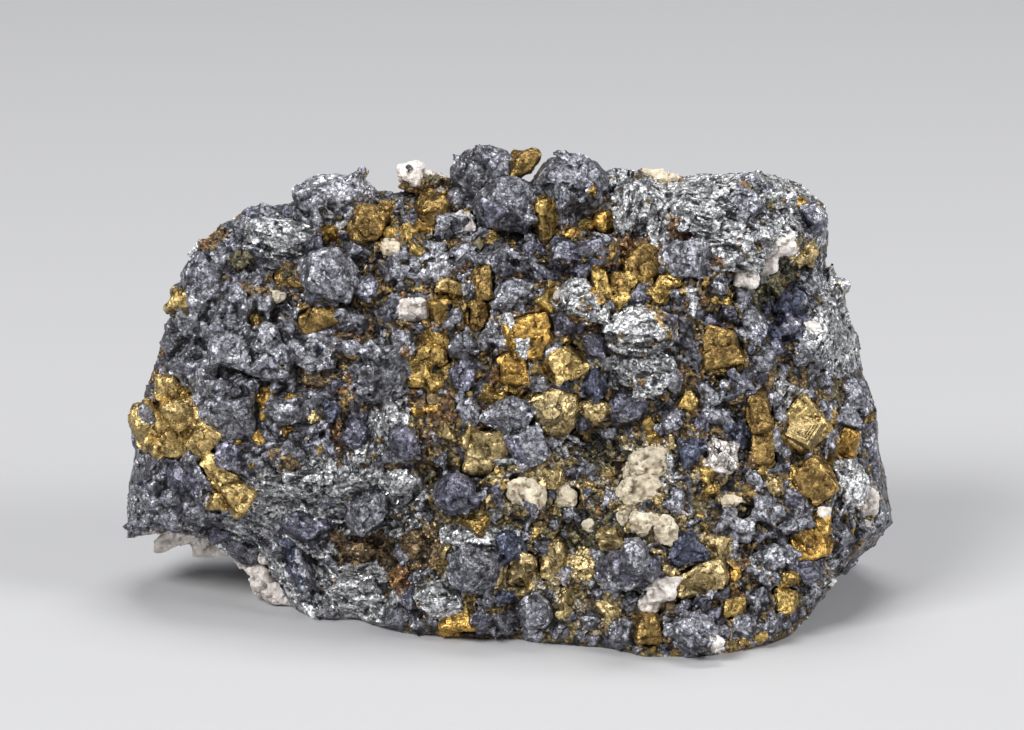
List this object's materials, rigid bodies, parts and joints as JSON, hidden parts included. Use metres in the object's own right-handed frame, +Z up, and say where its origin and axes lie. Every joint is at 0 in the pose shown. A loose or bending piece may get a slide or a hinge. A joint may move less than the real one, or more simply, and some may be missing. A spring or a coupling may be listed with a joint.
{
  "type": "tetrahedrite mineral specimen",
  "caption": "Broken block of grey tetrahedrite ore that stands on a flat base, its leaning face crusted with crystal balls, brassy chalcopyrite, white quartz and cream carbonate.",
  "frame": {"origin": "middle of the block's box in plan, at the floor that its flat underside stands on", "axes": "+Z up, +X to the right seen from the crystal face, +Y from the crystal face into the stone"},
  "size_m": [0.0966, 0.0488, 0.0587],
  "materials": {
    "tetrahedrite": "metallic grey crystal faces, from blue-black to silver, with gold and rust stains",
    "chalcopyrite": "brassy gold with brown tarnish, metallic lustre",
    "quartz": "milky white to pale pink, glassy",
    "carbonate": "cream, dull and finely granular"
  },
  "bodies": {
    "root": {"carbonate_large": "carbonate", "carbonate_left": "carbonate", "carbonate_middle": "carbonate", "carbonate_small": "carbonate", "chalcopyrite_amber_chip": "chalcopyrite", "chalcopyrite_amber_vein": "chalcopyrite", "chalcopyrite_bottom_block": "chalcopyrite", "chalcopyrite_bottom_left": "chalcopyrite", "chalcopyrite_bright_stud": "chalcopyrite", "chalcopyrite_crown_bead": "chalcopyrite", "chalcopyrite_left_bar": "chalcopyrite", "chalcopyrite_left_edge": "chalcopyrite", "chalcopyrite_left_star_1": "chalcopyrite", "chalcopyrite_left_star_2": "chalcopyrite", "chalcopyrite_lower_bead": "chalcopyrite", "chalcopyrite_lower_edge": "chalcopyrite", "chalcopyrite_lower_long": "chalcopyrite", "chalcopyrite_lower_middle": "chalcopyrite", "chalcopyrite_lower_right": "chalcopyrite", "chalcopyrite_middle_1": "chalcopyrite", "chalcopyrite_middle_2": "chalcopyrite", "chalcopyrite_middle_left": "chalcopyrite", "chalcopyrite_olive_chip": "chalcopyrite", "chalcopyrite_olive_dome": "chalcopyrite", "chalcopyrite_olive_long": "chalcopyrite", "chalcopyrite_olive_short": "chalcopyrite", "chalcopyrite_right_blade": "chalcopyrite", "chalcopyrite_right_block": "chalcopyrite", "chalcopyrite_right_prism": "chalcopyrite", "chalcopyrite_right_pyramid": "chalcopyrite", "chalcopyrite_right_wedge": "chalcopyrite", "chalcopyrite_tan_field": "chalcopyrite", "chalcopyrite_tan_hollow": "chalcopyrite", "chalcopyrite_under_crown": "chalcopyrite", "chalcopyrite_upper_ball": "chalcopyrite", "chalcopyrite_upper_left": "chalcopyrite", "chalcopyrite_upper_right": "chalcopyrite", "chalcopyrite_upper_right_chip": "chalcopyrite", "quartz_edge_vein": "quartz", "quartz_hollow_row_1": "quartz", "quartz_hollow_row_2": "quartz", "quartz_lower_white": "quartz", "quartz_right_edge": "quartz", "quartz_right_white": "quartz", "quartz_top_chip": "quartz", "quartz_top_point": "quartz", "quartz_under_vein": "quartz", "quartz_upper_left": "quartz", "tetrahedrite_block": "tetrahedrite"}
  },
  "joints": []
}
